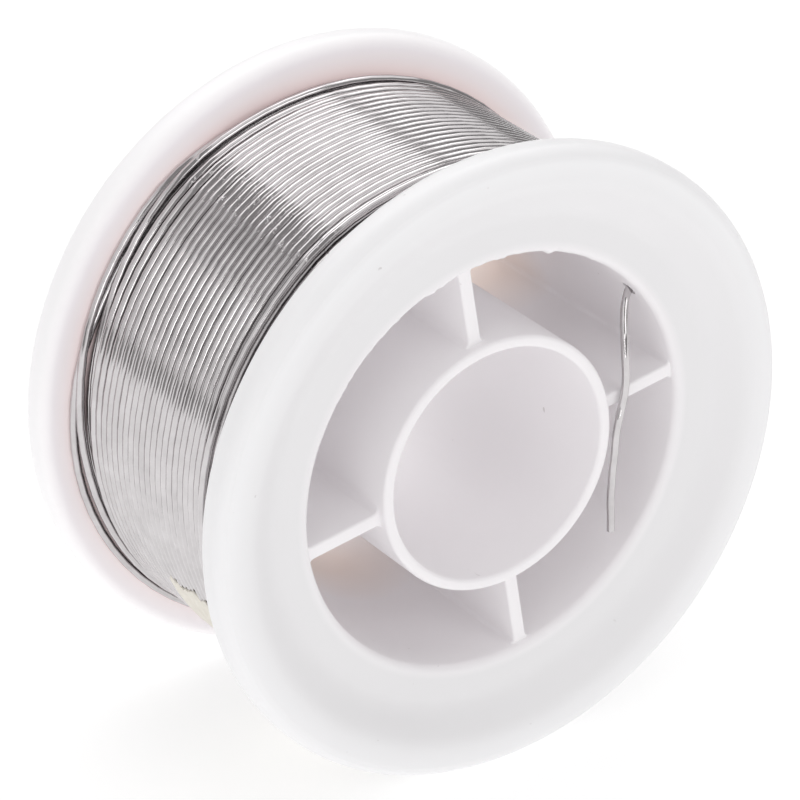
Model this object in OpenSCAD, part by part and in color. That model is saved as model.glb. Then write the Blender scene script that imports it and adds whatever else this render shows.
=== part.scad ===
// Solder wire spool: a one-piece moulded plastic spool, wound with flux-cored
// solder wire. The wire's inner end comes out through the barrel into the hub
// space, and a paper tab holds its outer end under the winding.
//
// The spool stands on its two rims. Its axis lies along Y, the front flange
// faces -Y, and the origin is the middle of the bore.

/* [Spool] */
// Diameter of the flanges
flange_d = 64; // [58:0.5:80]
// Overall width across the two rims
spool_w = 34.8; // [30:0.2:60]
// Diameter of the opening inside the barrel
barrel_bore_d = 42; // [36:0.5:44]
// Wall thickness of the barrel
barrel_wall = 1.3; // [1:0.1:2]

/* [Flanges] */
// Thickness of the flat part of a flange
flange_t = 1.8; // [1.2:0.1:2]
// How far the rim stands in front of the flat part
rim_rise = 1.9; // [1:0.1:2.5]
// Radius of the rim's outer edge
rim_outer_round = 1.5; // [0.8:0.1:1.6]
// Radius of the rim's inner edge
rim_inner_round = 1.3; // [0.8:0.1:1.6]
// Width of the flat crest on the rim
rim_crest_w = 1.3; // [0.5:0.1:2]
// Width of the slope from the crest down to the flat part
rim_slope_w = 4.9; // [3:0.1:5]
// Radius of the lip around the opening
lip_round = 0.6; // [0.2:0.1:0.8]

/* [Hub and ribs] */
// Diameter of the bore that takes a spindle
hub_bore_d = 23.6; // [16:0.1:25]
// Wall thickness of the hub
hub_wall = 1.2; // [1:0.1:2]
// How far each end of the hub stands in front of the flange's flat part
hub_proud = 0.3; // [0:0.1:1]
// Radius of the hub's end edges
hub_round = 0.4; // [0.1:0.1:0.5]
// Thickness of each rib
rib_t = 1.4; // [1:0.1:2]
// How far each rib's ends lie behind the flange's flat part
rib_recess = 0.7; // [0.6:0.1:2]
// Angle of the right-hand rib above the horizontal
rib_angle = 9.5; // [0:0.5:30]

/* [Solder wire] */
// Diameter of the solder wire
wire_d = 0.8; // [0.6:0.1:0.8]
// Diameter of the flux core inside the wire
core_d = 0.3; // [0.2:0.05:0.4]
// Depth of the winding on the barrel
winding_depth = 5.9; // [2:0.1:6.5]
// How far the last strands at the rear stand above the winding
strand_rise = 1.1; // [0.5:0.1:1.5]
// Width of the band of last strands at the rear
strand_w = 1.7; // [0.8:0.1:3]
// Diameter of the hole that the wire's inner end comes out of
anchor_hole_d = 1.6; // [1:0.1:2]

/* [Paper tab] */
// Width of the tab along the spool
tab_w = 12; // [6:0.5:20]
// Thickness of the tab
tab_t = 0.15; // [0.1:0.05:0.3]
// Length of the tab around the winding, in degrees
tab_sweep = 64; // [30:1:120]

/* [Hidden] */
$fn = 96;
cut = 1;                // overshoot of a cutting shape past the surface it cuts

flange_r = flange_d / 2;
half_w = spool_w / 2;
face_z = half_w - rim_rise;         // plane of a flange's flat outer face
inner_z = face_z - flange_t;        // plane of a flange's inner face
barrel_in_r = barrel_bore_d / 2;
barrel_r = barrel_in_r + barrel_wall;
hub_bore_r = hub_bore_d / 2;
hub_r = hub_bore_r + hub_wall;
hub_half = face_z + hub_proud;
rib_half = face_z - rib_recess;
winding_r = barrel_r + winding_depth;
crest_r = flange_r - rim_outer_round - rim_crest_w;
anchor_angle = 36;                  // where the anchor hole lies, above the horizontal
anchor_z = 12.8;                    // and how far in front of the spool's middle
tab_start = 205.5;                  // angle of the tab's torn end
tab_front_z = 10;                   // edge of the tab nearest the front flange
tube_sides = 8;

// Middle line of the wire's free inner end, from the anchor hole to the cut end
tail_route = [
    [18.0, -12.8, 13.0], [17.4, -12.8, 12.6], [16.8, -12.9, 12.1], [16.3, -13.2, 11.5],
    [15.9, -13.6, 10.7], [15.5, -14.1, 9.8], [15.2, -14.6, 8.7], [15.0, -15.0, 7.4],
    [14.9, -15.3, 6.0], [14.9, -15.4, 4.5], [14.8, -15.4, 3.0], [14.5, -15.4, 1.6],
    [14.1, -15.5, 0.3], [13.8, -15.5, -1.4], [13.7, -15.5, -3.1], [13.6, -15.4, -4.8],
    [13.6, -15.3, -6.6], [13.6, -15.2, -8.4], [13.7, -15.2, -10.2], [13.8, -15.1, -11.8]
];

// Points along an arc
function arc(c, r, from, to, steps = 8) =
    [for (i = [0 : steps]) let (a = from + (to - from) * i / steps) c + r * [cos(a), sin(a)]];

// Half section of a flange, as radius and distance from the spool's middle
function flange_section() = concat(
    [[barrel_in_r, inner_z]],
    arc([flange_r - rim_inner_round, inner_z + rim_inner_round], rim_inner_round, -90, 0),
    arc([flange_r - rim_outer_round, half_w - rim_outer_round], rim_outer_round, 0, 90),
    [for (i = [0 : 8]) [crest_r - rim_slope_w * i / 8,
                        face_z + rim_rise * (1 + cos(180 * i / 8)) / 2]],
    arc([barrel_in_r + lip_round, face_z - lip_round], lip_round, 90, 180, 4)
);

// Half section of the hub, with rounded end edges
function hub_section() = concat(
    arc([hub_bore_r + hub_round, hub_half - hub_round], hub_round, 180, 90, 4),
    arc([hub_r - hub_round, hub_half - hub_round], hub_round, 90, 0, 4),
    arc([hub_r - hub_round, hub_round - hub_half], hub_round, 0, -90, 4),
    arc([hub_bore_r + hub_round, hub_round - hub_half], hub_round, -90, -180, 4)
);

// Sections of a round rod swept along a route, one ring of points per route point
function unit(v) = v / norm(v);
function along(route, i) =
    unit(route[min(i + 1, len(route) - 1)] - route[max(i - 1, 0)]);
function ring(route, i, r) =
    let (t = along(route, i), side = unit(cross(t, [0, 1, 0])), up = cross(side, t))
    [for (k = [0 : tube_sides - 1]) let (a = 360 * k / tube_sides)
        route[i] + r * (cos(a) * side + sin(a) * up)];
function rings(route, r) = [for (i = [0 : len(route) - 1]) each ring(route, i, r)];
function ring_faces(count, first, flip) =
    [for (i = [0 : count - 2], k = [0 : tube_sides - 1])
        let (a = first + i * tube_sides + k,
             b = first + i * tube_sides + (k + 1) % tube_sides,
             quad = [a, b, b + tube_sides, a + tube_sides])
        flip ? [quad[3], quad[2], quad[1], quad[0]] : quad];

module swept_rod(route, d) {
    count = len(route);
    last = (count - 1) * tube_sides;
    polyhedron(
        points = rings(route, d / 2),
        faces = concat(
            ring_faces(count, 0, false),
            [[for (k = [tube_sides - 1 : -1 : 0]) k]],
            [[for (k = [0 : tube_sides - 1]) last + k]]
        )
    );
}

module swept_tube(route, d, core) {
    count = len(route);
    inner = count * tube_sides;
    last = (count - 1) * tube_sides;
    polyhedron(
        points = concat(rings(route, d / 2), rings(route, core / 2)),
        faces = concat(
            ring_faces(count, 0, false),
            ring_faces(count, inner, true),
            [for (k = [0 : tube_sides - 1]) let (n = (k + 1) % tube_sides)
                [n, k, inner + k, inner + n]],
            [for (k = [0 : tube_sides - 1]) let (n = (k + 1) % tube_sides)
                [last + k, last + n, inner + last + n, inner + last + k]]
        )
    );
}

// Turns a shape drawn along Z so that its top faces the front, along -Y
module on_axis() {
    rotate([90, 0, 0]) children();
}

module flange() {
    rotate_extrude() polygon(flange_section());
}

module front_flange() {
    color("whitesmoke") on_axis() flange();
}

module rear_flange() {
    color("whitesmoke") on_axis() mirror([0, 0, 1]) flange();
}

module barrel() {
    color("gainsboro") on_axis() difference() {
        cylinder(r = barrel_r, h = 2 * inner_z, center = true);
        cylinder(r = barrel_in_r, h = 2 * inner_z + 2 * cut, center = true);
        rotate([0, 0, anchor_angle]) translate([barrel_in_r - cut, 0, anchor_z])
            rotate([0, 90, 0]) cylinder(d = anchor_hole_d, h = barrel_wall + 2 * cut, $fn = 32);
    }
}

module hub_tube() {
    color("whitesmoke") on_axis() rotate_extrude() polygon(hub_section());
}

// One rib between the hub and the barrel, at an angle around the axis
module rib(angle) {
    color("gainsboro") on_axis() intersection() {
        cylinder(r = barrel_in_r, h = 2 * rib_half, center = true);
        difference() {
            rotate([0, 0, angle]) translate([0, -rib_t / 2, -rib_half])
                cube([flange_r, rib_t, 2 * rib_half]);
            cylinder(r = hub_r, h = 2 * rib_half + 2 * cut, center = true);
        }
    }
}

module rib_right() {
    rib(rib_angle);
}

module rib_top() {
    rib(rib_angle + 90);
}

module rib_left() {
    rib(rib_angle + 180);
}

module rib_bottom() {
    rib(rib_angle + 270);
}

// All the turns of wire on the barrel as one ring, with the last strands at the rear
module solder_winding() {
    strand_r = winding_r + strand_rise;
    color("silver") on_axis() rotate_extrude() polygon([
        [barrel_r, -inner_z], [strand_r, -inner_z],
        [strand_r, strand_w - inner_z], [winding_r, strand_w - inner_z],
        [winding_r, inner_z], [barrel_r, inner_z]
    ]);
}

module solder_tail() {
    color("silver") swept_tube(tail_route, wire_d, core_d);
}

module flux_core() {
    color("goldenrod") swept_rod(tail_route, core_d);
}

module paper_tab() {
    color("beige") on_axis() rotate([0, 0, tab_start]) rotate_extrude(angle = tab_sweep)
        translate([winding_r, tab_front_z - tab_w]) square([tab_t, tab_w]);
}

front_flange();
rear_flange();
barrel();
hub_tube();
rib_top();
rib_left();
rib_bottom();
rib_right();
solder_winding();
solder_tail();
flux_core();
paper_tab();
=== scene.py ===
"""A moulded plastic spool wound with flux-cored solder wire, on a pale studio floor."""
import math
import random

import bmesh
import bpy
from mathutils import Matrix, Vector, noise


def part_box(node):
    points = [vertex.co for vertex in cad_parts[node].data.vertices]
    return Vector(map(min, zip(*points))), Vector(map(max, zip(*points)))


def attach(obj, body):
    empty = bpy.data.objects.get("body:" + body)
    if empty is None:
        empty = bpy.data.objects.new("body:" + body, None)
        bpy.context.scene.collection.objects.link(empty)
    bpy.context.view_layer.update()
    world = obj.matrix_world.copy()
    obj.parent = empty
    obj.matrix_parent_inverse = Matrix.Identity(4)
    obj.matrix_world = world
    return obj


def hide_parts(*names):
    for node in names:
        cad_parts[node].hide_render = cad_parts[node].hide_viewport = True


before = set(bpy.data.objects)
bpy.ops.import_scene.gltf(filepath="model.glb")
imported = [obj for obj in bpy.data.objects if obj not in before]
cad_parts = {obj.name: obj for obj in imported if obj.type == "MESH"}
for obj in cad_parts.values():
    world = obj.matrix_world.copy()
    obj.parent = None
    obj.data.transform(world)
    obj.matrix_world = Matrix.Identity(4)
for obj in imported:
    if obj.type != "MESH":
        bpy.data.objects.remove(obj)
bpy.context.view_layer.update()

# ---------------------------------------------------------------- sizes, in metres, from the frame
MM = 0.001
FLANGE_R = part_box("front_flange")[1][0]
HALF_W = -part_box("front_flange")[0][1]          # rim crest, from the spool's middle
INNER_Y = -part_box("front_flange")[1][1]         # inner face of a flange
BARREL_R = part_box("barrel")[1][0]
HUB_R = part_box("hub_tube")[1][0]
HUB_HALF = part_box("hub_tube")[1][1]
RIB_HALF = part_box("rib_top")[1][1]

# the same driving values as the CAD source
BARREL_IN_R = 21.0 * MM
HUB_BORE_R = 11.8 * MM
RIM_RISE = 1.9 * MM
RIM_OUTER_ROUND = 1.5 * MM
RIM_INNER_ROUND = 1.3 * MM
RIM_CREST_W = 1.3 * MM
RIM_SLOPE_W = 4.9 * MM
HUB_ROUND = 0.4 * MM
RIB_T = 1.4 * MM
RIB_ANGLE = 9.5
FACE_Y = HALF_W - RIM_RISE
WIRE_D = 0.8 * MM
CORE_D = 0.3 * MM
WINDING_R = 28.2 * MM
ANCHOR_ANGLE = 36.0
ANCHOR_Y = -12.8 * MM
ANCHOR_HOLE_D = 1.6 * MM
TAB_START = 205.5
TAB_SWEEP = 64.0
TAB_FRONT_Y = -10.0 * MM
TAB_W = 12.0 * MM
TAB_T = 0.15 * MM

# finer than the CAD source
LIP_ROUND = 0.8 * MM                # the CAD's lip is 0.6 mm
PARTING_STEP, PARTING_RISE = 17, 0.02 * MM      # the mould's parting ridge on a rim's outer edge
SLOPE_STEPS = 16                    # along a rim's slope

# middle line of the wire's free inner end, from the anchor hole to the cut end, in mm
TAIL_ROUTE = [
    (18.0, -12.8, 13.0), (17.4, -12.8, 12.6), (16.8, -12.9, 12.1), (16.3, -13.2, 11.5),
    (15.9, -13.6, 10.7), (15.5, -14.1, 9.8), (15.2, -14.6, 8.7), (15.0, -15.0, 7.4),
    (14.9, -15.3, 6.0), (14.9, -15.4, 4.5), (14.8, -15.4, 3.0), (14.5, -15.4, 1.6),
    (14.1, -15.5, 0.3), (13.8, -15.5, -1.4), (13.7, -15.5, -3.1), (13.6, -15.4, -4.8),
    (13.6, -15.3, -6.6), (13.6, -15.2, -8.4), (13.7, -15.2, -10.2), (13.8, -15.1, -11.8),
]


# ---------------------------------------------------------------- camera
def make_camera(azimuth=-34.54, elevation=28.0, distance=0.4184, lens=196.5):
    """A long lens at the reference view's angle, from the front left and above."""
    a, e = math.radians(azimuth), math.radians(elevation)
    right = Vector((math.cos(a), math.sin(a), 0))
    back = Vector((math.sin(a) * math.cos(e), -math.cos(a) * math.cos(e), math.sin(e)))
    up = back.cross(right)
    camera = bpy.data.objects.new("camera", bpy.data.cameras.new("camera"))
    camera.data.lens = lens
    camera.data.sensor_width = 36
    camera.data.clip_start = 0.01
    place = back * distance - right * 0.325 * MM - up * 0.064 * MM
    camera.matrix_world = Matrix.Translation(place) @ Matrix((right, up, back)).transposed().to_4x4()
    bpy.context.scene.collection.objects.link(camera)
    bpy.context.scene.camera = camera


# ---------------------------------------------------------------- helpers for meshes
def add_object(name, mesh, material):
    obj = bpy.data.objects.new(name, mesh)
    bpy.context.scene.collection.objects.link(obj)
    mesh.materials.append(material)
    return obj


def shade(mesh, angle=35):
    """Smooth shading, with edges sharper than angle left crisp."""
    mesh.polygons.foreach_set("use_smooth", [True] * len(mesh.polygons))
    mesh.set_sharp_from_angle(angle=math.radians(angle))


def polar(radius, degrees, y):
    """A point at an angle from +X towards +Z around the spool's axis."""
    a = math.radians(degrees)
    return Vector((radius * math.cos(a), y, radius * math.sin(a)))


def arc(centre, radius, start, end, steps):
    """Points of an arc in a section, as (radius, y) pairs."""
    points = []
    for i in range(steps + 1):
        a = math.radians(start + (end - start) * i / steps)
        points.append((centre[0] + radius * math.cos(a), centre[1] + radius * math.sin(a)))
    return points


def smooth(t):
    t = min(max(t, 0.0), 1.0)
    return t * t * (3 - 2 * t)


def lathe(name, section, steps, move=None):
    """A closed section of (radius, y) points turned about the Y axis."""
    count = len(section)
    verts = []
    for s in range(steps):
        degrees = 360 * s / steps
        for r, y in section:
            point = polar(r, degrees, y)
            verts.append(move(point, r, y, degrees) if move else point)
    faces = []
    for s in range(steps):
        here, there = s * count, (s + 1) % steps * count
        for i in range(count):
            j = (i + 1) % count
            faces.append((here + i, here + j, there + j, there + i))
    mesh = bpy.data.meshes.new(name)
    mesh.from_pydata(verts, [], faces)
    mesh.validate()
    work = bmesh.new()
    work.from_mesh(mesh)
    bmesh.ops.recalc_face_normals(work, faces=work.faces)
    work.to_mesh(mesh)
    work.free()
    shade(mesh)
    return mesh


# ---------------------------------------------------------------- helpers for materials
class Nodes:
    """Short calls for building a node material."""

    def __init__(self, name):
        self.material = bpy.data.materials.new(name)
        self.material.use_nodes = True
        self.tree = self.material.node_tree
        self.bsdf = self.tree.nodes["Principled BSDF"]

    def add(self, kind, **settings):
        node = self.tree.nodes.new(kind)
        for key, value in settings.items():
            setattr(node, key, value)
        return node

    def link(self, source, target):
        self.tree.links.new(source, target)

    def math(self, operation, a, b=0.0):
        node = self.add("ShaderNodeMath", operation=operation)
        for socket, value in zip(node.inputs, (a, b)):
            if isinstance(value, (int, float)):
                socket.default_value = value
            else:
                self.link(value, socket)
        return node.outputs[0]

    def coords(self):
        return self.add("ShaderNodeTexCoord").outputs["Object"]

    def scaled(self, vector, scale):
        node = self.add("ShaderNodeMapping")
        self.link(vector, node.inputs["Vector"])
        node.inputs["Scale"].default_value = scale
        return node.outputs[0]

    def noise(self, vector, scale, detail=3.0, roughness=0.5):
        node = self.add("ShaderNodeTexNoise")
        self.link(vector, node.inputs["Vector"])
        node.inputs["Scale"].default_value = scale
        node.inputs["Detail"].default_value = detail
        node.inputs["Roughness"].default_value = roughness
        return node.outputs["Fac"]

    def ramp(self, value, stops):
        """Colours or greys at places from 0 to 1."""
        node = self.add("ShaderNodeValToRGB")
        self.link(value, node.inputs[0])
        elements = node.color_ramp.elements
        while len(elements) < len(stops):
            elements.new(0.5)
        for element, (place, colour) in zip(elements, stops):
            element.position = place
            grey = isinstance(colour, (int, float))
            element.color = (colour, colour, colour, 1) if grey else (*colour, 1)
        return node.outputs[0]

    def span(self, value, low, high, to_low=0.0, to_high=1.0):
        node = self.add("ShaderNodeMapRange")
        self.link(value, node.inputs["Value"])
        for name, number in (("From Min", low), ("From Max", high),
                             ("To Min", to_low), ("To Max", to_high)):
            node.inputs[name].default_value = number
        return node.outputs[0]

    def mix(self, factor, a, b):
        """A blend of two colours. Sockets 6 and 7 are the colours A and B, output 2 the result."""
        node = self.add("ShaderNodeMix", data_type="RGBA")
        for socket, value in ((node.inputs[0], factor), (node.inputs[6], a), (node.inputs[7], b)):
            if isinstance(value, tuple):
                socket.default_value = (*value, 1)
            elif isinstance(value, (int, float)):
                socket.default_value = value
            else:
                self.link(value, socket)
        return node.outputs[2]

    def bump(self, height, distance, strength=1.0, after=None):
        node = self.add("ShaderNodeBump")
        self.link(height, node.inputs["Height"])
        node.inputs["Distance"].default_value = distance
        node.inputs["Strength"].default_value = strength
        if after is not None:
            self.link(after, node.inputs["Normal"])
        return node.outputs[0]

    def set(self, **values):
        """Values on the shader's own sockets, by name with _ for a space."""
        for key, value in values.items():
            self.bsdf.inputs[key.replace("_", " ")].default_value = value

    def finish(self, base=None, roughness=None, normal=None):
        for name, socket in (("Base Color", base), ("Roughness", roughness), ("Normal", normal)):
            if socket is not None:
                self.link(socket, self.bsdf.inputs[name])
        return self.material


# ---------------------------------------------------------------- materials
def axis_radius(n, coords):
    """Distance from the spool's axis and the place along it, in metres."""
    split = n.add("ShaderNodeSeparateXYZ")
    n.link(coords, split.inputs[0])
    x2 = n.math("MULTIPLY", split.outputs["X"], split.outputs["X"])
    z2 = n.math("MULTIPLY", split.outputs["Z"], split.outputs["Z"])
    return n.math("SQRT", n.math("ADD", x2, z2)), split.outputs["Y"]


def moulded_plastic(name, stops, low, high, pink_light_paint=None, warm_light_spots=(), glow=0.03):
    """Milky moulded plastic, whose colour changes with the distance from the axis, as painted light and
    shade.

    The pink ring colours, by radius, paint the light that comes through the thin plastic on a flange's
    inner face next to the winding. The warm patch middles paint warm light in deep corners.
    glow is the light that comes through its thin walls.
    """
    n = Nodes(name)
    coords = n.coords()
    radius, y = axis_radius(n, coords)
    # painted light and shade by radius: on a flange, darker in front of the winding and brighter towards
    # the rim, where light comes through the plastic
    tint = n.ramp(n.span(radius, low, high), stops)
    # painted pink light on a flange's inner face, strongest next to the winding
    if pink_light_paint:
        ring = n.ramp(n.span(radius, WINDING_R, FLANGE_R), pink_light_paint)
        inner_face = n.span(n.math("ABSOLUTE", y), INNER_Y + 0.3 * MM, INNER_Y + 1.2 * MM, 1.0, 0.0)
        tint = n.mix(inner_face, tint, ring)
    # painted warm light in the deep corners of the pockets
    for centre in warm_light_spots:
        away = n.add("ShaderNodeVectorMath", operation="DISTANCE")
        n.link(coords, away.inputs[0])
        away.inputs[1].default_value = Vector(centre) * MM
        tint = n.mix(n.span(away.outputs["Value"], 2 * MM, 9 * MM, 0.7, 0.0), tint, (0.90, 0.74, 0.64))
    cloud = n.noise(coords, 90, 4, 0.6)
    tint = n.mix(n.span(cloud, 0.3, 0.7, 0.0, 0.05), tint, (0.70, 0.68, 0.70))
    speck_noise = n.noise(coords, 900, 2, 0.4)
    specks = n.span(speck_noise, 0.77, 0.82)
    tint = n.mix(n.math("MULTIPLY", specks, 0.35), tint, (0.25, 0.20, 0.18))
    grain = n.noise(coords, 2600, 3, 0.55)
    wave = n.noise(coords, 160, 2, 0.5)
    normal = n.bump(grain, 0.006 * MM, 0.6)
    normal = n.bump(wave, 0.06 * MM, 0.5, normal)
    rough = n.span(n.noise(coords, 420, 4, 0.6), 0.3, 0.7, 0.34, 0.48)
    n.set(IOR=1.49, Specular_IOR_Level=0.4, Emission_Color=(1.0, 0.92, 0.93, 1),
          Emission_Strength=glow)
    return n.finish(tint, rough, normal)


def solder_metal(name):
    """Drawn tin wire: bright, with fine lines along it, a little grime and nicks where turns cross."""
    n = Nodes(name)
    uv = n.add("ShaderNodeUVMap", uv_map="wire").outputs[0]
    lines = n.noise(n.scaled(uv, (0.25, 14.0, 1.0)), 1.0, 3, 0.6)
    smudge = n.noise(n.coords(), 420, 4, 0.6)
    pits = n.noise(n.coords(), 2400, 2, 0.5)
    base = n.ramp(smudge, [(0.30, (0.56, 0.540, 0.545)), (0.70, (0.66, 0.638, 0.645))])
    base = n.mix(n.span(pits, 0.74, 0.82, 0.0, 0.4), base, (0.22, 0.20, 0.20))
    rough = n.span(n.math("ADD", lines, smudge), 0.7, 1.3, 0.07, 0.13)
    normal = n.bump(lines, 0.0015 * MM, 0.5)
    normal = n.bump(pits, 0.002 * MM, 0.5, normal)
    across = n.add("ShaderNodeVectorMath", operation="DOT_PRODUCT")
    n.link(n.coords(), across.inputs[0])
    a = math.radians(NICKED_ANGLE)
    across.inputs[1].default_value = (-math.sin(a), 0, math.cos(a))
    near = n.span(n.math("ABSOLUTE", across.outputs["Value"]), 1.0 * MM, 2.6 * MM, 1.0, 0.0)
    nicks = n.span(n.noise(n.coords(), 1900, 2, 0.5), 0.62, 0.70)
    normal = n.bump(n.math("MULTIPLY", nicks, near), 0.03 * MM, 1.0, normal)
    n.set(Metallic=1.0)
    return n.finish(base, rough, normal)


def flux_resin(name):
    """Amber rosin."""
    n = Nodes(name)
    coords = n.coords()
    base = n.ramp(n.noise(coords, 3000, 3), [(0.3, (0.42, 0.22, 0.05)), (0.7, (0.62, 0.38, 0.12))])
    n.set(Coat_Weight=0.5, IOR=1.52)
    return n.finish(base, n.span(n.noise(coords, 5000, 2), 0.3, 0.7, 0.2, 0.4),
                    n.bump(n.noise(coords, 4000, 3), 0.02 * MM, 0.5))


def crepe_paper(name):
    """Cream paper with fine creases across it and short fibres."""
    n = Nodes(name)
    coords = n.coords()
    fibres = n.noise(n.scaled(coords, (900, 3500, 900)), 1.0, 4, 0.65)
    creases = n.noise(n.scaled(coords, (2600, 350, 2600)), 1.0, 3, 0.5)
    base = n.ramp(fibres, [(0.3, (0.74, 0.70, 0.62)), (0.7, (0.87, 0.84, 0.77))])
    normal = n.bump(creases, 0.05 * MM, 0.8)
    normal = n.bump(fibres, 0.02 * MM, 0.5, normal)
    n.set(Specular_IOR_Level=0.25)
    return n.finish(base, n.span(fibres, 0.3, 0.7, 0.65, 0.85), normal)


def light_table(name):
    """Pale translucent floor, lit softly from below as well as from above."""
    n = Nodes(name)
    cloud = n.noise(n.coords(), 3, 2)
    base = n.ramp(cloud, [(0.3, (0.39, 0.39, 0.39)), (0.7, (0.41, 0.41, 0.41))])
    n.set(Specular_IOR_Level=0.1, Emission_Color=(1, 1, 1, 1), Emission_Strength=0.69)
    return n.finish(base, n.span(cloud, 0.3, 0.7, 0.8, 0.9))


def backdrop_wall(name):
    """Pale studio wall, a little brighter at the foot."""
    n = Nodes(name)
    split = n.add("ShaderNodeSeparateXYZ")
    n.link(n.coords(), split.inputs[0])
    glow = n.ramp(n.span(split.outputs["Z"], 0.0, WALL_HEIGHT), [(0.0, 0.93), (1.0, 0.80)])
    n.set(Base_Color=(0, 0, 0, 1), Specular_IOR_Level=0.0, Roughness=1.0, Emission_Strength=1.0)
    n.link(glow, n.bsdf.inputs["Emission Color"])
    return n.material


# ---------------------------------------------------------------- the wire
LAYERS = 8
FIRST_LAYER_R = BARREL_R + WIRE_D / 2
TOP_LAYER_R = WINDING_R - WIRE_D / 2 + 0.02 * MM
LAYER_STEP = (TOP_LAYER_R - FIRST_LAYER_R) / (LAYERS - 1)
END_Y = INNER_Y - WIRE_D / 2        # middle of the turn that lies against a flange
TURNS_PER_LAYER = 27.5
PITCH = 0.962 * MM                  # from one turn of the top layer to the next
FULL_STEPS, UNDER_STEPS, TOP_STEPS = 28, 48, 72     # rings per turn: inner layers, seventh, top
TUBE_SIDES = 10
PRESSED = 0.025 * MM                # how much fuller the wire is drawn where its turns touch
WOUND_FROM = 32 * MM                # along the wire, from its cut end to where it lies in the winding

# how far the top layer stands out of round, in mm, by angle: where the wire steps from turn to turn
SWELL = [(0, -0.10), (60, -0.15), (92, -0.16), (101, -0.12), (108, 0.0), (115, 0.14), (123, 0.19),
         (131, 0.08), (139, 0.0), (152, -0.02), (165, -0.03), (200, 0.0), (260, 0.05), (360, -0.10)]

# the strands at the rear, in degrees from the seventh layer's end, mm along the axis and radius
# in mm: the wire climbs in the corner, then each turn steps forward towards the front flange
REAR_STRANDS = [
    (0, 11.50, 27.10), (30, 12.20, 27.12), (60, 13.00, 27.10), (90, 13.30, 27.10), (240, 13.30, 27.10),
    (330, 13.30, 27.40), (400, 13.30, 27.70), (510, 13.30, 27.75), (520, 13.30, 28.15), (528, 13.30, 28.55),
    (545, 13.30, 28.85), (560, 13.30, 28.90), (600, 13.30, 28.75), (660, 13.30, 28.25), (740, 13.30, 27.75),
    (827, 13.30, 27.66), (834, 13.30, 27.98), (840, 13.30, 28.28), (848, 13.30, 28.62), (865, 13.30, 28.62),
    (875, 13.30, 28.56), (882, 13.17, 28.54), (895, 12.70, 28.44), (902, 12.40, 28.42), (910, 12.12, 28.34),
    (925, 12.00, 28.22), (960, 12.40, 28.10), (1020, 12.70, 28.00), (1080, 12.80, 27.97),
    (1145, 12.76, 27.96), (1160, 12.76, 28.00), (1175, 12.62, 28.02), (1188, 12.52, 28.24),
    (1200, 12.56, 28.45), (1210, 12.52, 28.42), (1220, 12.42, 28.20), (1230, 12.36, 27.88),
    (1240, 12.26, 27.52), (1250, 12.10, 27.40), (1260, 11.94, 27.36), (1280, 11.78, 27.42),
    (1320, 11.70, 27.62), (1380, 11.66, 27.78), (1440, 11.62, 27.76), (1505, 11.30, 27.74),
    (1535, 11.28, 27.74), (1548, 11.26, 27.90), (1560, 11.20, 28.14), (1568, 11.20, 28.14),
    (1580, 11.24, 27.98), (1600, 11.18, 27.80), (1620, 11.02, 27.80), (1660, 10.90, 27.82),
    (1800, 10.62, 27.72), (1865, 10.26, 27.70), (1908, 10.14, 27.86), (1922, 10.16, 28.10),
    (1940, 10.18, 27.94), (1960, 10.16, 27.78), (2020, 9.73, 27.82),
]
VALLEY_FROM, VALLEY_SPAN = 40, 220  # where the seventh layer runs beside the top layer, in degrees
VALLEY_DEPTH = 0.64 * MM            # from the top layer's middle down to the seventh's
FIRST_EVEN_TURN = (2268, 9.21)      # where the even turns begin, in degrees and mm
NICKED_ANGLE = 123                  # where the turns cross the layer below and are scuffed
STRAND_STOP = 215                   # where the wire's outer end has stepped back under the tab
STRAND_OVERRUN = 32                 # how much farther it runs under the tab, in degrees
STRAND_LIFT = WIRE_D * 0.9          # from the top layer's middle up to the last strand's
STRAND_INSET = 0.9 * MM             # from the tab's front edge to the last strand
FRONT_GAPS = [(-8.05, 0.13), (-9.75, 0.12), (-3.2, 0.03), (6.7, 0.04)]     # wide gaps: mm, half width


def between(points, x):
    """Smooth values at x through points whose first number is x."""
    last = len(points) - 1
    i = max(j for j in range(last) if points[j][0] <= x or j == 0)
    p0, p1, p2, p3 = (points[min(max(j, 0), last)] for j in (i - 1, i, i + 1, i + 2))
    width = p2[0] - p1[0]
    t = (x - p1[0]) / width
    values = []
    for a, b, c, d in list(zip(p0, p1, p2, p3))[1:]:
        slope1 = (c - a) / max(p2[0] - p0[0], 1e-9) * width
        slope2 = (d - b) / max(p3[0] - p1[0], 1e-9) * width
        h = t * t * (3 - 2 * t)
        values.append(b + (c - b) * h + slope1 * t * (1 - t) ** 2 - slope2 * t * t * (1 - t))
    return values


def swell(degrees):
    return between(SWELL, degrees % 360)[0] * MM


def inner_layer(layer, start, turns, from_y, to_y):
    """One hidden layer, a helix that follows the top layer's shape more and more."""
    radius = FIRST_LAYER_R + layer * LAYER_STEP
    count = round(turns * FULL_STEPS)
    points = []
    for i in range(count):
        degrees = start + 360 * turns * i / count
        y = from_y + (to_y - from_y) * i / count
        points.append((degrees, y, radius + swell(degrees) * layer / (LAYERS - 1)))
    return points


def under_layer(start, end):
    """The seventh layer, whose turns lie in the valleys of the top layer wherever that is in sight."""
    def advance(degrees):
        turn, rest = divmod(degrees - VALLEY_FROM, 360)
        back = smooth((rest - VALLEY_SPAN) / (360 - VALLEY_SPAN))
        return PITCH * (2 * (turn + back) - degrees / 360)

    points = []
    count = round((end - start) * UNDER_STEPS / 360)
    for i in range(count):
        degrees = start + (end - start) * i / count
        y = REAR_STRANDS[0][1] * MM + advance(degrees) - advance(end)
        points.append((degrees, max(y, -END_Y), TOP_LAYER_R - VALLEY_DEPTH + 0.8 * swell(degrees)))
    return points


def rear_strands(start):
    last = REAR_STRANDS[-1][0]
    points = []
    for i in range(int(last * TOP_STEPS / 360)):
        degrees = 360 * i / TOP_STEPS
        y, radius = between(REAR_STRANDS, degrees)
        points.append((start + degrees, y * MM, radius * MM))
    return points


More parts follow.
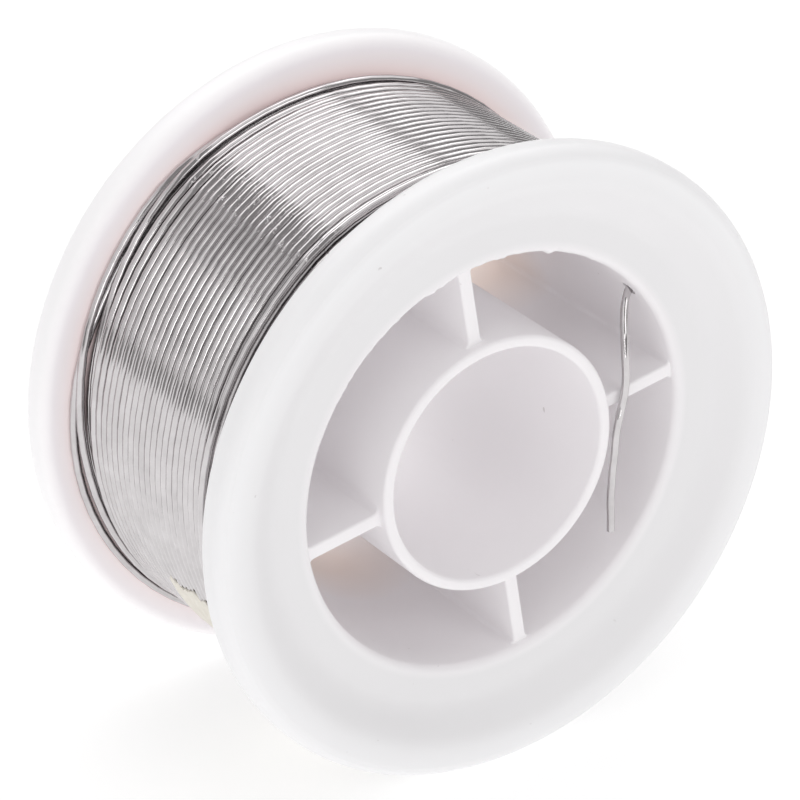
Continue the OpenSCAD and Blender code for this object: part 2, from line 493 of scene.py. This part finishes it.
def even_turns(start, until_y):
    """The rest of the top layer, from behind the first even turn to the front flange."""
    first, y0 = FIRST_EVEN_TURN
    joined, y_joined = REAR_STRANDS[-1][0], REAR_STRANDS[-1][1]
    points = []
    degrees = joined
    while True:
        y = y0 * MM - PITCH * (degrees - first) / 360
        if y <= until_y:
            return points, degrees
        if degrees < first:
            y = y_joined * MM + (y0 - y_joined) * MM * smooth((degrees - joined) / (first - joined))
        wander = noise.noise(Vector((degrees / 70, 3.7, 0))) * 0.035 * MM
        sag = noise.noise(Vector((degrees / 55, 9.1, 0))) * 0.03 * MM
        for gap, half in FRONT_GAPS:
            off = y / MM - gap
            wander += half * MM * math.tanh(off / 0.25) * math.exp(-abs(off) / 1.6)
        points.append((start + degrees, max(y + wander, -END_Y), TOP_LAYER_R + swell(degrees) + sag))
        degrees += 360 / TOP_STEPS


def last_strand(degrees, y):
    """The wire's outer end, which steps back over the turns and ends under the paper tab."""
    end = 360 * math.ceil((degrees - STRAND_STOP) / 360) + STRAND_STOP + 360
    points = []
    here = degrees
    while here <= end + STRAND_OVERRUN:
        t = smooth((here - degrees) / 150)
        inward = smooth((here - degrees - 40) / (end - degrees - 60))
        points.append((here, y + inward * (y * -1 + TAB_FRONT_Y + STRAND_INSET),
                       TOP_LAYER_R + swell(here) + STRAND_LIFT * t))
        here += 360 / TOP_STEPS
    return points


def wire_path():
    """Ring centres of the whole wire, from the cut end to the last strand, and the last strand itself."""
    tail = [Vector(p) * MM for p in reversed(TAIL_ROUTE)]
    rows = [(i, *p) for i, p in enumerate(tail)]
    fine = 4
    path = [Vector(between(rows, i / fine)) for i in range((len(tail) - 1) * fine)]
    degrees = ANCHOR_ANGLE
    turns = [(degrees - 0.2, ANCHOR_Y, 22.2 * MM), (degrees + 0.6, ANCHOR_Y, 22.45 * MM),
             (degrees + 2.4, ANCHOR_Y, 22.62 * MM), (degrees + 5.0, ANCHOR_Y, FIRST_LAYER_R)]
    degrees += 9
    for layer in range(LAYERS - 2):
        ends = (-END_Y, END_Y) if layer % 2 == 0 else (END_Y, -END_Y)
        turns += inner_layer(layer, degrees, TURNS_PER_LAYER, *ends)
        degrees += 360 * TURNS_PER_LAYER + 360 / FULL_STEPS
    rest = 26 * 360 - degrees % 360
    turns += under_layer(degrees, degrees + rest)
    degrees += rest
    turns += rear_strands(degrees)
    even, done = even_turns(degrees, -END_Y)
    turns += even
    strand = last_strand(degrees + done, even[-1][1])
    path += [polar(r, a, y) for a, y, r in turns + strand]
    return path, strand


def tube_rings(path, radius, sides, fuller):
    """Ring points of a tube along path, and the length travelled at each ring.

    Beyond the free end it grows by fuller, as the turns on the barrel are pressed together.
    """
    count = len(path)
    verts = []
    normal = Vector((0, 1, 0))
    travelled = 0.0
    along = []
    for i, here in enumerate(path):
        before, after = path[max(i - 1, 0)], path[min(i + 1, count - 1)]
        tangent = (after - before).normalized()
        normal = (normal - tangent * normal.dot(tangent)).normalized()
        side = tangent.cross(normal)
        travelled += (here - before).length
        along.append(travelled)
        for k in range(sides):
            a = 2 * math.pi * k / sides
            grown = radius + fuller * smooth((travelled - WOUND_FROM) / (4 * MM))
            verts.append(here + (normal * math.cos(a) + side * math.sin(a)) * grown)
    return verts, along


def tube(name, path, radius, sides, fuller=0.0):
    """A round tube along path, capped at both ends, with a wire UV: length and way around in mm."""
    verts, along = tube_rings(path, radius, sides, fuller)
    count = len(path)
    faces, uvs = [], []
    around = 2 * math.pi * radius
    for i in range(count - 1):
        for k in range(sides):
            j = (k + 1) % sides
            a, b = i * sides + k, i * sides + j
            faces.append((a, b, b + sides, a + sides))
            u0, u1 = along[i] / MM, along[i + 1] / MM
            v0, v1 = around * k / sides / MM, around * (k + 1) / sides / MM
            uvs += [(u0, v0), (u0, v1), (u1, v1), (u1, v0)]
    last = (count - 1) * sides
    faces.append(tuple(reversed(range(sides))))
    faces.append(tuple(last + k for k in range(sides)))
    uvs += [(0.0, k * 0.1) for k in range(sides)] * 2
    mesh = bpy.data.meshes.new(name)
    mesh.from_pydata(verts, [], faces)
    layer = mesh.uv_layers.new(name="wire")
    layer.data.foreach_set("uv", [number for uv in uvs for number in uv])
    shade(mesh, 50)
    return mesh


def make_wire(metal, resin):
    """The wire and its flux core. Returns the last strand, which the paper tab lies over."""
    path, strand = wire_path()
    wire = add_object("solder_wire", tube("solder_wire", path, WIRE_D / 2, TUBE_SIDES, PRESSED), metal)
    core_path = [Vector(p) * MM for p in reversed(TAIL_ROUTE)]
    proud = (core_path[0] - core_path[1]).normalized() * 0.03 * MM
    core_path[0] = core_path[0] + proud
    core = add_object("flux_core_strand", tube("flux_core_strand", core_path, CORE_D / 2, 12), resin)
    for piece, slot in ((wire, "solder"), (core, "flux")):
        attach(piece, "root")
    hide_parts("solder_winding", "solder_tail")
    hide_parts("flux_core")
    return strand


# ---------------------------------------------------------------- the moulded spool
def flange_section(sign):
    """Closed section of a flange on the side that sign gives, -1 for the front."""
    crest_r = FLANGE_R - RIM_OUTER_ROUND - RIM_CREST_W
    points = [(BARREL_IN_R, INNER_Y)]
    points += [(r * MM, INNER_Y) for r in (22.3, 24, 26, 28, 30)]
    points += arc((FLANGE_R - RIM_INNER_ROUND, INNER_Y + RIM_INNER_ROUND), RIM_INNER_ROUND, -90, 0, 8)
    rim = arc((FLANGE_R - RIM_OUTER_ROUND, HALF_W - RIM_OUTER_ROUND), RIM_OUTER_ROUND, 0, 90, 24)
    r, y = rim[PARTING_STEP]
    rim[PARTING_STEP] = (r + PARTING_RISE, y + PARTING_RISE)
    points += rim
    for i in range(SLOPE_STEPS + 1):
        t = i / SLOPE_STEPS
        points.append((crest_r - RIM_SLOPE_W * t,
                       FACE_Y + RIM_RISE * (1 + math.cos(math.pi * t)) / 2))
    points += arc((BARREL_IN_R + LIP_ROUND, FACE_Y - LIP_ROUND), LIP_ROUND, 90, 180, 8)
    return [(r, sign * y) for r, y in points]


def burr(point, r, y, degrees):
    """Small ragged flash on the lip of the opening, nearest its top."""
    if r > BARREL_IN_R + LIP_ROUND * 0.9 or abs(y) < FACE_Y - LIP_ROUND * 1.1:
        return point
    near_top = smooth(1 - abs(degrees - 95) / 75)
    ragged = noise.noise(Vector((degrees / 1.7, 0.5, 2.2))) + noise.noise(Vector((degrees / 5.0, 7.5, 0)))
    inward = max(ragged - 0.12, 0) * 0.27 * MM * near_top
    return polar(r - inward, degrees, y)


def make_flange(name, node, sign, plastic):
    flange = add_object(name, lathe(name, flange_section(sign), 400, burr), plastic)
    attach(flange, "root")
    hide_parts(node)


def make_hub(plastic):
    section = arc((HUB_BORE_R + HUB_ROUND, HUB_HALF - HUB_ROUND), HUB_ROUND, 180, 90, 6)
    section += arc((HUB_R - HUB_ROUND, HUB_HALF - HUB_ROUND), HUB_ROUND, 90, 0, 6)
    section += arc((HUB_R - HUB_ROUND, HUB_ROUND - HUB_HALF), HUB_ROUND, 0, -90, 6)
    section += arc((HUB_BORE_R + HUB_ROUND, HUB_ROUND - HUB_HALF), HUB_ROUND, -90, -180, 6)
    hub = add_object("hub_sleeve", lathe("hub_sleeve", section, 160), plastic)
    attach(hub, "root")
    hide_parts("hub_tube")


def make_barrel(plastic):
    """The wall that the wire is wound on, with the hole that its inner end comes through."""
    rows = 24
    section = [(BARREL_R, -INNER_Y + 2 * INNER_Y * i / rows) for i in range(rows + 1)]
    section += [(BARREL_IN_R, INNER_Y - 2 * INNER_Y * i / rows) for i in range(rows + 1)]
    barrel = add_object("barrel_wall", lathe("barrel_wall", section, 192), plastic)
    cutter_path = [polar(r * MM, ANCHOR_ANGLE, ANCHOR_Y) for r in (20, 24)]
    cutter = bpy.data.objects.new("cutter", tube("cutter", cutter_path, ANCHOR_HOLE_D / 2, 32))
    bpy.context.scene.collection.objects.link(cutter)
    cut = barrel.modifiers.new("anchor_hole", "BOOLEAN")
    cut.operation = "DIFFERENCE"
    cut.solver = "EXACT"
    cut.object = cutter
    bpy.context.view_layer.update()
    depsgraph = bpy.context.evaluated_depsgraph_get()
    barrel.data = bpy.data.meshes.new_from_object(barrel.evaluated_get(depsgraph))
    barrel.modifiers.clear()
    bpy.data.objects.remove(cutter)
    shade(barrel.data)
    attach(barrel, "root")
    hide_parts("barrel")


def rib_side(inset, hub_fillet=0.7 * MM, barrel_fillet=0.5 * MM, sunk=0.35 * MM):
    """Upper side of a rib seen along the axis, as (along, across) points from the hub to the barrel."""
    half = RIB_T / 2
    reach = HUB_R + hub_fillet
    centre = (math.sqrt(reach ** 2 - (half + hub_fillet) ** 2), half + hub_fillet)
    start = math.degrees(math.atan2(-centre[1], -centre[0]))
    root = (HUB_R - sunk) / reach
    points = [(root * centre[0], root * centre[1])]
    points += arc(centre, hub_fillet + inset, start, -90, 10)
    reach = BARREL_IN_R - barrel_fillet
    centre = (math.sqrt(reach ** 2 - (half + barrel_fillet) ** 2), half + barrel_fillet)
    end = math.degrees(math.atan2(centre[1], centre[0]))
    points += arc(centre, barrel_fillet + inset, -90, end, 10)
    root = (BARREL_IN_R + sunk) / reach
    points.append((root * centre[0], root * centre[1]))
    return points


def make_rib(name, node, degrees, plastic, edge_round=0.25 * MM, edge_steps=5):
    """A rib with fillets into the hub and the barrel, and rounded ends."""
    levels = []
    for i in range(edge_steps + 1):
        a = math.radians(90 * i / edge_steps)
        levels.append((RIB_HALF - edge_round * (1 - math.sin(a)), edge_round * (1 - math.cos(a))))
    levels = [(-y, inset) for y, inset in reversed(levels)] + levels
    turn = Matrix.Rotation(-math.radians(degrees), 3, "Y")
    work = bmesh.new()
    rings = []
    for y, inset in levels:
        side = rib_side(inset)
        ring = [(u, v) for u, v in side] + [(u, -v) for u, v in reversed(side)]
        rings.append([work.verts.new(turn @ Vector((u, y, v))) for u, v in ring])
    count = len(rings[0])
    for low, high in zip(rings, rings[1:]):
        for i in range(count):
            j = (i + 1) % count
            work.faces.new((low[i], low[j], high[j], high[i]))
    for ring in (rings[0], rings[-1]):
        for i in range(count // 2 - 1):
            cap = work.faces.new((ring[i], ring[i + 1], ring[count - 2 - i], ring[count - 1 - i]))
            cap.smooth = False
    bmesh.ops.recalc_face_normals(work, faces=work.faces)
    mesh = bpy.data.meshes.new(name)
    work.to_mesh(mesh)
    work.free()
    shade(mesh, 40)
    rib = add_object(name, mesh, plastic)
    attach(rib, "root")
    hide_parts(node)


# ---------------------------------------------------------------- the paper tab
TAB_CELLS_ACROSS, TAB_CELLS_ALONG = 60, 110
TAB_RIPPLE = 0.035 * MM             # how much the paper follows the turns
TAB_STUCK = 0.12 * MM               # how far it is pressed down at its torn end
TAB_CLEAR = 0.04 * MM               # its middle height above the turns
STRAND_CLEAR = 0.02 * MM            # its height above the wire's outer end
STRAND_TOP, STRAND_FLANK = 0.3 * MM, 0.9 * MM   # half width of the ridge's top, width of each flank


def over_strand(strand, degrees, y, base):
    """How far the tab rises above base at a point, to pass over the wire's outer end."""
    end = strand[-1][0] % 360
    index = len(strand) - 1 + round((degrees - end) * TOP_STEPS / 360)
    _, strand_y, strand_r = strand[min(max(index, 0), len(strand) - 1)]
    needed = max(strand_r + WIRE_D / 2 + PRESSED + STRAND_CLEAR - base, 0)
    beside = smooth((abs(y - strand_y) - STRAND_TOP) / STRAND_FLANK)
    beyond = smooth((degrees - end - 1) / 5)
    return needed * (1 - beside) * (1 - beyond)


def tab_base(y, t):
    """Radius of the tab's underside beside the strand, at t from its torn end to its far end."""
    ripple = TAB_RIPPLE * math.cos(2 * math.pi * y / PITCH)
    stuck = TAB_STUCK * (1 - t) ** 12
    return WINDING_R + TAB_CLEAR - stuck + ripple


def make_tab(paper, strand):
    """A strip of crepe paper over the winding and the wire's outer end, with a torn end."""
    rng = random.Random(7)
    across, along = TAB_CELLS_ACROSS, TAB_CELLS_ALONG
    tear = [0.0]
    for _ in range(across):
        tear.append(tear[-1] * 0.75 + rng.uniform(-1.1, 1.1))
    work = bmesh.new()
    grid = {}
    for side in (0, 1):
        for i in range(along + 1):
            for j in range(across + 1):
                y = TAB_FRONT_Y + TAB_W * j / across
                start = TAB_START + tear[j] * (1 - i / along) ** 8
                degrees = start + TAB_SWEEP * i / along
                base = tab_base(y, i / along)
                radius = base + over_strand(strand, degrees, y, base) + side * TAB_T
                grid[side, i, j] = work.verts.new(polar(radius, degrees, y))
    for i in range(along):
        for j in range(across):
            for side in (0, 1):
                work.faces.new((grid[side, i, j], grid[side, i, j + 1],
                                grid[side, i + 1, j + 1], grid[side, i + 1, j]))
    for i in range(along):
        for j in (0, across):
            work.faces.new((grid[0, i, j], grid[0, i + 1, j], grid[1, i + 1, j], grid[1, i, j]))
    for j in range(across):
        for i in (0, along):
            work.faces.new((grid[0, i, j], grid[0, i, j + 1], grid[1, i, j + 1], grid[1, i, j]))
    bmesh.ops.recalc_face_normals(work, faces=work.faces)
    mesh = bpy.data.meshes.new("tab_strip")
    work.to_mesh(mesh)
    work.free()
    shade(mesh)
    tab = add_object("tab_strip", mesh, paper)
    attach(tab, "root")
    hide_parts("paper_tab")


# ---------------------------------------------------------------- studio
FLOOR_HALF, WALL_HEIGHT = 2.0, 1.5      # metres


def softbox(name, azimuth, elevation, size, radiance, shift=0.0):
    """A soft panel one metre from the spool: azimuth from the front towards +X.

    shift moves the panel along +X without turning it.
    """
    a, e = math.radians(azimuth), math.radians(elevation)
    place = Vector((math.sin(a) * math.cos(e), -math.cos(a) * math.cos(e), math.sin(e)))
    light = bpy.data.lights.new(name, "AREA")
    light.shape = "RECTANGLE"
    light.size, light.size_y = size
    light.energy = radiance * math.pi * size[0] * size[1]
    lamp = bpy.data.objects.new(name, light)
    lamp.location = place + Vector((shift, 0, 0))
    lamp.rotation_euler = (-place).to_track_quat("-Z", "Y").to_euler()
    lamp.visible_camera = False
    bpy.context.scene.collection.objects.link(lamp)


def make_backdrop(steps=96):
    """A round wall far behind, seen by the camera but not mirrored in the object."""
    work = bmesh.new()
    ring = []
    for i in range(steps):
        foot = polar(FLOOR_HALF, 360 * i / steps, 0)
        ring.append([work.verts.new((foot.x, foot.z, z)) for z in (-FLANGE_R, WALL_HEIGHT)])
    for i in range(steps):
        (low, high), (next_low, next_high) = ring[i], ring[(i + 1) % steps]
        work.faces.new((low, next_low, next_high, high))
    mesh = bpy.data.meshes.new("backdrop")
    work.to_mesh(mesh)
    work.free()
    wall = add_object("backdrop", mesh, backdrop_wall("backdrop_wall"))
    wall.visible_diffuse = wall.visible_glossy = wall.visible_shadow = False


def make_studio():
    mesh = bpy.data.meshes.new("floor")
    half = FLOOR_HALF
    corners = ((-half, -half), (half, -half), (half, half), (-half, half))
    mesh.from_pydata([(x, y, -FLANGE_R) for x, y in corners], [], [(0, 1, 2, 3)])
    floor = add_object("floor", mesh, light_table("light_table"))
    make_backdrop()
    world = bpy.data.worlds.new("studio")
    world.use_nodes = True
    background = world.node_tree.nodes["Background"]
    background.inputs["Color"].default_value = (1.0, 0.98, 0.98, 1)
    background.inputs["Strength"].default_value = 0.30
    bpy.context.scene.world = world
    softbox("overhead_softbox", 180, 81, (0.79, 2.1), 0.65, shift=0.155)
    softbox("back_softbox", 158, 57, (1.4, 0.72), 1.3)
    softbox("right_softbox", 15, 26, (0.62, 0.48), 1.6)
    softbox("side_softbox", 85, 44, (0.8, 0.5), 0.8)
    softbox("strip_softbox", -28, 9, (0.13, 0.45), 4.4)
    softbox("far_left_softbox", -54, 24, (0.42, 0.86), 0.7)
    softbox("left_wall_softbox", -98, 34, (1.2, 1.0), 0.50)
    bpy.context.scene.view_settings.view_transform = "Standard"


# ---------------------------------------------------------------- the whole scene
make_camera()
outer_end = make_wire(solder_metal("solder"), flux_resin("flux"))

inner_white = (0.915, 0.895, 0.91)
# painted light and shade on the flanges by radius: darker in front of the winding, which blocks the light
# through the plastic, and brighter towards the backlit rim
rim_light_and_shade = [(0.0, inner_white), (0.12, (0.815, 0.81, 0.82)), (0.60, (0.82, 0.815, 0.825)),
             (0.85, (0.885, 0.885, 0.895)), (1.0, (0.91, 0.91, 0.92))]
# painted pink light on the rear flange's inner face, strongest next to the winding
pink_light_paint = [(0.0, (0.97, 0.79, 0.775)), (0.3, (0.97, 0.87, 0.87)), (0.65, (0.965, 0.93, 0.96)),
         (1.0, (0.955, 0.95, 0.955))]
# middles of patches of painted warm light in deep corners, in mm
warm_light_corners = [(17.2, 12.2, 3.1), (-4.0, 8.0, -20.6)]
plastic_flange = moulded_plastic("milky_flange", rim_light_and_shade, BARREL_IN_R, FLANGE_R)
plastic_rear = moulded_plastic("milky_rear", rim_light_and_shade, BARREL_IN_R, FLANGE_R, pink_light_paint, glow=0.11)
plastic_inside = moulded_plastic("milky_inside", [(0.0, inner_white), (1.0, inner_white)],
                                 HUB_BORE_R, FLANGE_R, warm_light_spots=warm_light_corners)
make_flange("front_disc", "front_flange", -1, plastic_flange)
make_flange("rear_disc", "rear_flange", 1, plastic_rear)
make_barrel(plastic_inside)
make_hub(plastic_inside)
for number, rib_name in enumerate(("right", "top", "left", "bottom")):
    make_rib("web_" + rib_name, "rib_" + rib_name, RIB_ANGLE + 90 * number, plastic_inside)
make_tab(crepe_paper("crepe_paper"), outer_end)
make_studio()
